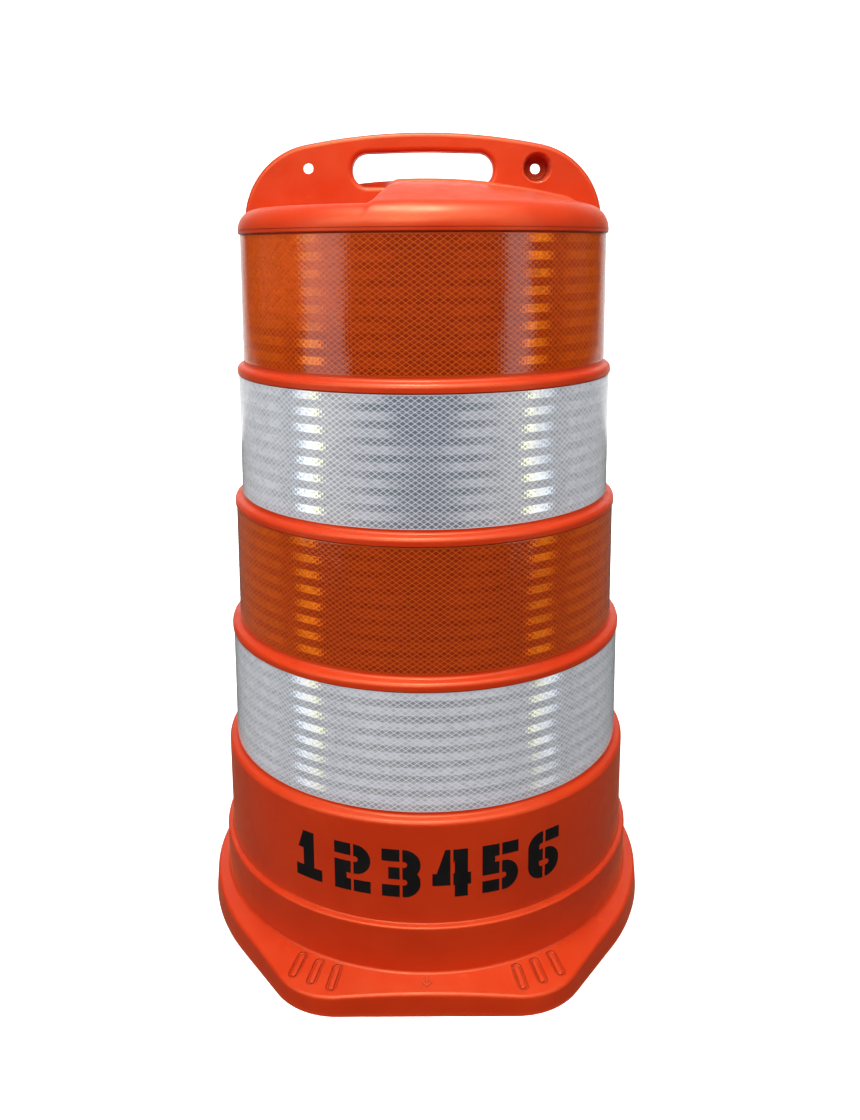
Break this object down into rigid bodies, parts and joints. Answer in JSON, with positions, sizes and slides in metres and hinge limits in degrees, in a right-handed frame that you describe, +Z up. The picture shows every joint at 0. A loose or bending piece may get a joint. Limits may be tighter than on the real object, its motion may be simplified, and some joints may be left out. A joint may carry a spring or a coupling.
{
  "type": "traffic channelizer drum",
  "caption": "Tapered plastic traffic drum with an arched carrying handle, stepped dome, bands of orange and white prismatic sheeting, a ballast collar and a broad flanged foot.",
  "frame": {"origin": "on the ground at the drum's axis", "axes": "+Z up along the axis, +X along the carrying handle, -Y is the marked front"},
  "size_m": [0.6178, 0.644, 1.0333],
  "materials": {
    "orange_polyethylene": "satin blow-moulded low-density polyethylene, fluorescent red-orange",
    "orange_prismatic_film": "glossy microprismatic face film, orange, with a diamond seal lattice",
    "white_prismatic_film": "glossy microprismatic face film, clear over white, with a diamond seal lattice",
    "white_backing_film": "white adhesive-backed film",
    "black_paint": "flat black stencil paint"
  },
  "bodies": {
    "root": {"drum_body": "orange_polyethylene", "stencil_marking": "black_paint", "upper_orange_backing_film": "white_backing_film", "upper_white_backing_film": "white_backing_film", "lower_orange_backing_film": "white_backing_film", "lower_white_backing_film": "white_backing_film", "upper_orange_face_film": "orange_prismatic_film", "upper_white_face_film": "white_prismatic_film", "lower_orange_face_film": "orange_prismatic_film", "lower_white_face_film": "white_prismatic_film"}
  },
  "joints": []
}
